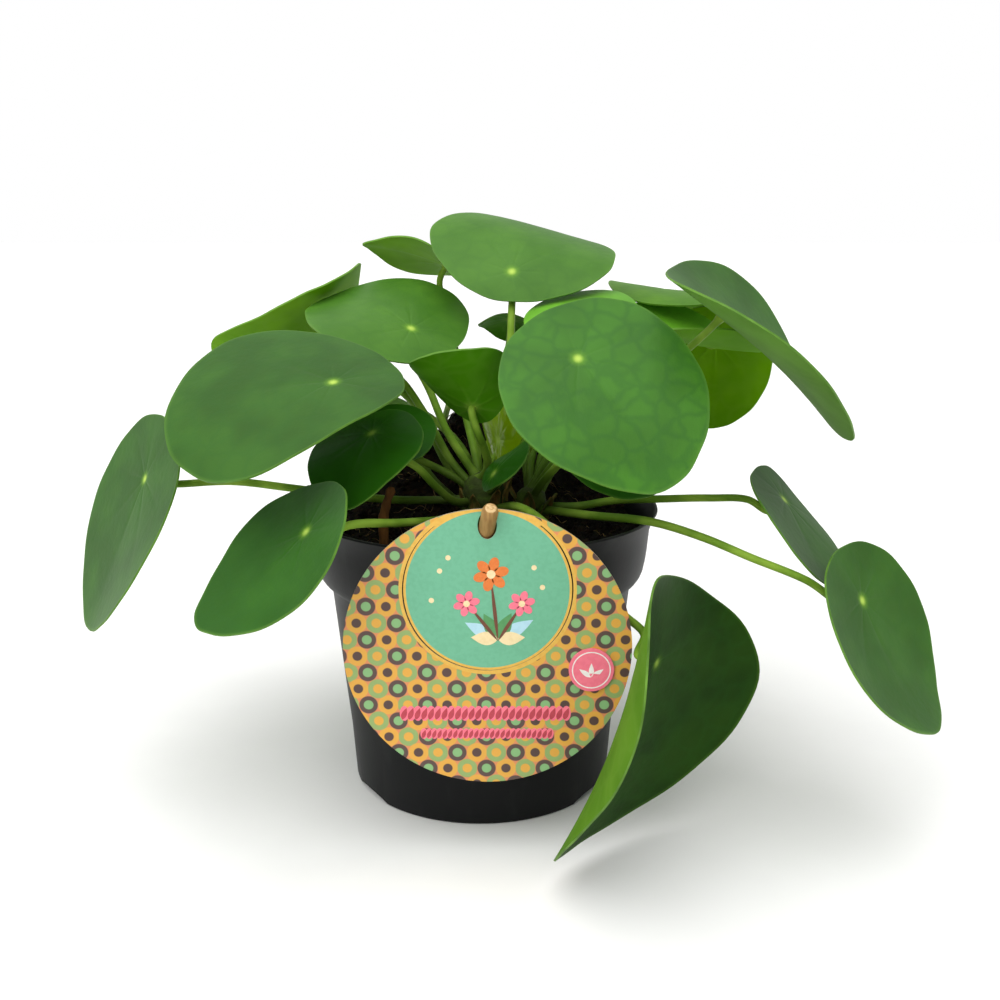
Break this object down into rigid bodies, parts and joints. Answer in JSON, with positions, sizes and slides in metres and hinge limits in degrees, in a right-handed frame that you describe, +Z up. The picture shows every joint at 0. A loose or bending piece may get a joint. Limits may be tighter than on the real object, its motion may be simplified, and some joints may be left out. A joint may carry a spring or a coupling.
{
  "type": "potted plant",
  "caption": "Chinese money plant with round shield-shaped leaves on long stalks in a flared nursery pot, with a round card tag on a wooden peg.",
  "frame": {"origin": "middle of the flat pad under the pot, which rests on the ground", "axes": "+Z up along the pot's axis; -Y is the front, where the round tag hangs"},
  "size_m": [0.2829, 0.23, 0.1933],
  "materials": {
    "pot": "satin injection-moulded dark grey plastic",
    "soil": null,
    "stem": "green-brown scarred plant stem",
    "leaf": null,
    "young_leaf": null,
    "card": "printed coated card",
    "sticker": "pink paper sticker with a gloss coat",
    "peg": "bare round wooden peg",
    "dry_stalk": "dry brown leaf stalk"
  },
  "bodies": {
    "root": {"pot": "pot", "soil": "soil", "stem_main": "stem", "stem_side": "stem", "leaf_01": "leaf", "leaf_02": "leaf", "leaf_03": "leaf", "leaf_04": "leaf", "leaf_05": "leaf", "leaf_06": "leaf", "leaf_07": "leaf", "leaf_08": "leaf", "leaf_09": "leaf", "leaf_10": "leaf", "leaf_11": "leaf", "leaf_12": "leaf", "leaf_13": "leaf", "leaf_14": "leaf", "leaf_15": "leaf", "leaf_16": "leaf", "leaf_17": "young_leaf", "leaf_18": "leaf", "leaf_19": "leaf", "leaf_20": "leaf", "leaf_21": "leaf", "leaf_22": "leaf", "leaf_23": "leaf", "leaf_24": "leaf", "leaf_25": "leaf", "leaf_26": "leaf", "leaf_27": "leaf", "leaf_28": "leaf", "leaf_29": "leaf", "tag_card": "card", "tag_sticker": "sticker", "tag_peg": "peg", "dry_stalk": "dry_stalk"}
  },
  "joints": []
}
